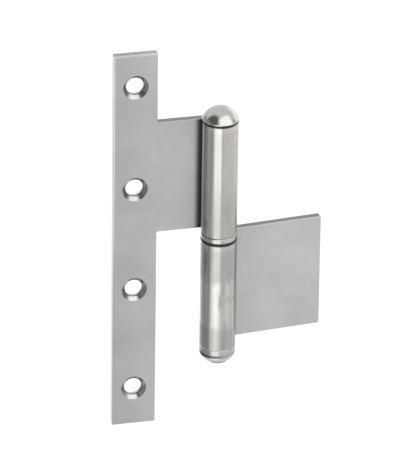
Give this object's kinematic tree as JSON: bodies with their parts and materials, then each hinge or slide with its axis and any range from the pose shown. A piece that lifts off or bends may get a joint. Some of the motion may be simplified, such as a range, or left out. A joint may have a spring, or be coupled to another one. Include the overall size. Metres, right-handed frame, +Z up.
{
  "type": "lift-off hinge",
  "caption": "Lift-off door hinge with a long countersunk screw leaf on its upper knuckle, a plain leaf on its lower knuckle and domed end caps.",
  "frame": {"origin": "on the line that the door turns on, at the top end of the lower knuckle, where the washer rests", "axes": "+Z up the turning line, +Y into the wall behind both leaves, -X towards the screw plate"},
  "size_m": [0.0839, 0.0184, 0.16],
  "materials": {
    "satin_steel": "matt brushed sheet",
    "polished_steel": "polished",
    "black_plastic": "moulded"
  },
  "bodies": {
    "frame_part": {"frame_leaf": "satin_steel", "hinge_pin": "polished_steel", "bottom_plug": "black_plastic", "bottom_cap": "polished_steel"},
    "washer": {"thrust_washer": "black_plastic"},
    "door_part": {"door_leaf": "satin_steel", "door_bush": "polished_steel", "top_plug": "black_plastic", "top_cap": "polished_steel"}
  },
  "joints": [
    {"name": "door_swing", "type": "hinge", "parent": "frame_part", "child": "washer", "pos_m": [0, 0, 0], "axis": [0, 0, 1], "range_deg": [-140, 185.6]},
    {"name": "door_lift", "type": "slide", "parent": "washer", "child": "door_part", "axis": [0, 0, 1], "range_m": [0, 0.045]}
  ]
}
